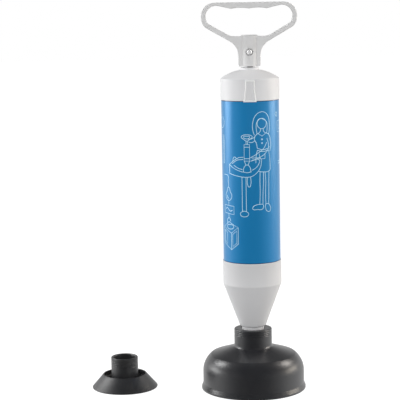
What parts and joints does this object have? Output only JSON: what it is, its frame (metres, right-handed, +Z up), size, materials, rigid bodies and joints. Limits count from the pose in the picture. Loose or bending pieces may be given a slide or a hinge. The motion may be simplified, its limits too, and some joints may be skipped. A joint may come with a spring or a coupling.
{
  "type": "sink plunger",
  "caption": "Hand pump plunger for blocked drains: pull handle, rod and piston in a plastic barrel, with interchangeable rubber cups on a hollow spigot.",
  "frame": {"origin": "centre of the large cup's mouth, on the floor it stands on", "axes": "+Z up the pump's axis to the handle, X along the flat handle with the small cup on the -X side, -Y the front"},
  "size_m": [0.291, 0.141, 0.5181],
  "materials": {
    "tube_plastic": "smooth, semi-gloss",
    "printed_film": "glossy printed film",
    "white_plastic": "moulded, semi-gloss",
    "handle_plastic": "moulded, satin",
    "cup_rubber": "moulded, satin",
    "black_rubber": "moulded, matt",
    "polished_steel": "polished",
    "turned_steel": "turned",
    "zinc_steel": "zinc plated",
    "chrome_screw": "polished",
    "bronze": "machined",
    "aluminium": "turned",
    "piston_plastic": "moulded",
    "felt": "dense felt"
  },
  "bodies": {
    "large_cup": {"large_cup": "cup_rubber"},
    "barrel": {"barrel": "tube_plastic", "label": "printed_film", "top_cap": "white_plastic", "rod_bush": "bronze", "rod_wiper": "felt", "stop_buffer": "black_rubber", "nozzle_cone": "white_plastic", "barrel_gasket": "black_rubber"},
    "piston": {"piston_upper_plate": "aluminium", "piston_upper_seal": "black_rubber", "piston_core": "piston_plastic", "piston_lower_seal": "black_rubber", "piston_lower_plate": "aluminium"},
    "rod": {"piston_rod": "polished_steel", "rod_end_plug": "turned_steel", "plug_pin": "turned_steel", "rod_top_plug": "aluminium", "end_washer": "zinc_steel", "spring_washer": "zinc_steel", "end_bolt": "zinc_steel", "handle": "handle_plastic", "handle_screw": "chrome_screw", "handle_nut": "zinc_steel"},
    "small_cup": {"small_cup": "cup_rubber"}
  },
  "joints": [
    {"name": "piston_slide", "type": "slide", "parent": "barrel", "child": "piston", "axis": [0, 0, 1], "range_m": [0, 0.19]},
    {"name": "handle_swivel", "type": "hinge", "parent": "piston", "child": "rod", "pos_m": [0, 0, 0.1949], "axis": [0, 0, 1], "continuous": true},
    {"name": "large_cup_pull", "type": "slide", "parent": "large_cup", "child": "barrel", "axis": [0, 0, 1], "range_m": [0, 0.05]},
    {"name": "small_cup_lift", "type": "slide", "parent": "large_cup", "child": "small_cup", "axis": [0, 0, 1], "range_m": [0, 0.06]}
  ]
}
